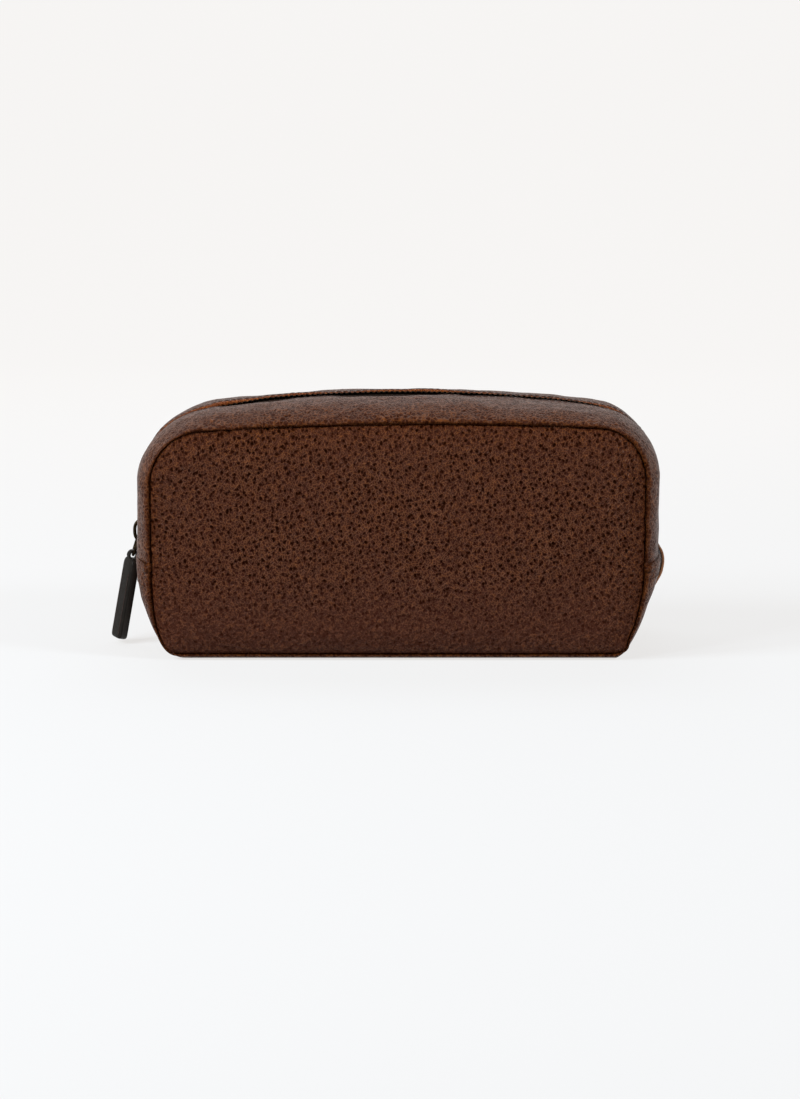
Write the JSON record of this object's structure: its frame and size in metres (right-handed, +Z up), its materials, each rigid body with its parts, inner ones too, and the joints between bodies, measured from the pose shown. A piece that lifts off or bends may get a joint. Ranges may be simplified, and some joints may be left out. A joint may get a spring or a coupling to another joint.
{
  "type": "leather shaving kit bag",
  "caption": "Zipped leather wash bag: rounded front and back panels, a zipped gusset over the top and sides, a base strip, a slider with a leather pull, and an end loop.",
  "frame": {"origin": "centre of the base's flat underside, which the bag rests on", "axes": "+X to the bag's right along its length, -Y towards its front, +Z up"},
  "size_m": [0.2643, 0.1058, 0.121],
  "materials": {
    "brown_leather": "satin, pebbled",
    "black_leather": "satin",
    "padding": "matt",
    "lining_cloth": "matt",
    "zip_tape": "matt",
    "zip_teeth": "dark plated",
    "antique_brass": "aged, satin"
  },
  "bodies": {
    "bag": {"back_panel": "brown_leather", "zip_strip_back": "brown_leather", "base_strip": "brown_leather", "end_loop": "brown_leather", "back_padding": "padding", "back_lining": "lining_cloth", "base_lining": "lining_cloth", "zip_lining_back": "lining_cloth", "zip_tape_back": "zip_tape", "zip_teeth_back": "zip_teeth", "top_stop_back": "antique_brass", "bottom_stop": "antique_brass"},
    "front_half": {"front_panel": "brown_leather", "front_padding": "padding", "front_lining": "lining_cloth", "zip_strip_front": "brown_leather", "zip_lining_front": "lining_cloth", "zip_tape_front": "zip_tape", "zip_teeth_front": "zip_teeth", "top_stop_front": "antique_brass"},
    "slider": {"slider_body": "antique_brass"},
    "pull_ring": {"pull_ring": "antique_brass"},
    "pull_tab": {"pull_tab": "black_leather"}
  },
  "joints": [
    {"name": "mouth_opening", "type": "hinge", "parent": "bag", "child": "front_half", "pos_m": [0, -0.0463, 0.0018], "axis": [-1, 0, 0], "range_deg": [-28, 0], "deforming": ["zip_tape_front", "zip_teeth_front", "top_stop_front"]},
    {"name": "zip_slide", "type": "slide", "parent": "bag", "child": "slider", "axis": [0, 0, 1], "range_m": [0, 0.026], "deforming": ["zip_teeth_back"]},
    {"name": "ring_swing", "type": "hinge", "parent": "slider", "child": "pull_ring", "pos_m": [-0.1256, 0, 0.0517], "axis": [0, 1, 0], "range_deg": [0, 110]},
    {"name": "tab_swing", "type": "hinge", "parent": "pull_ring", "child": "pull_tab", "pos_m": [-0.12834, -0.00043, 0.04262], "axis": [-0.454, 0.891, 0], "range_deg": [-6, 45]}
  ]
}
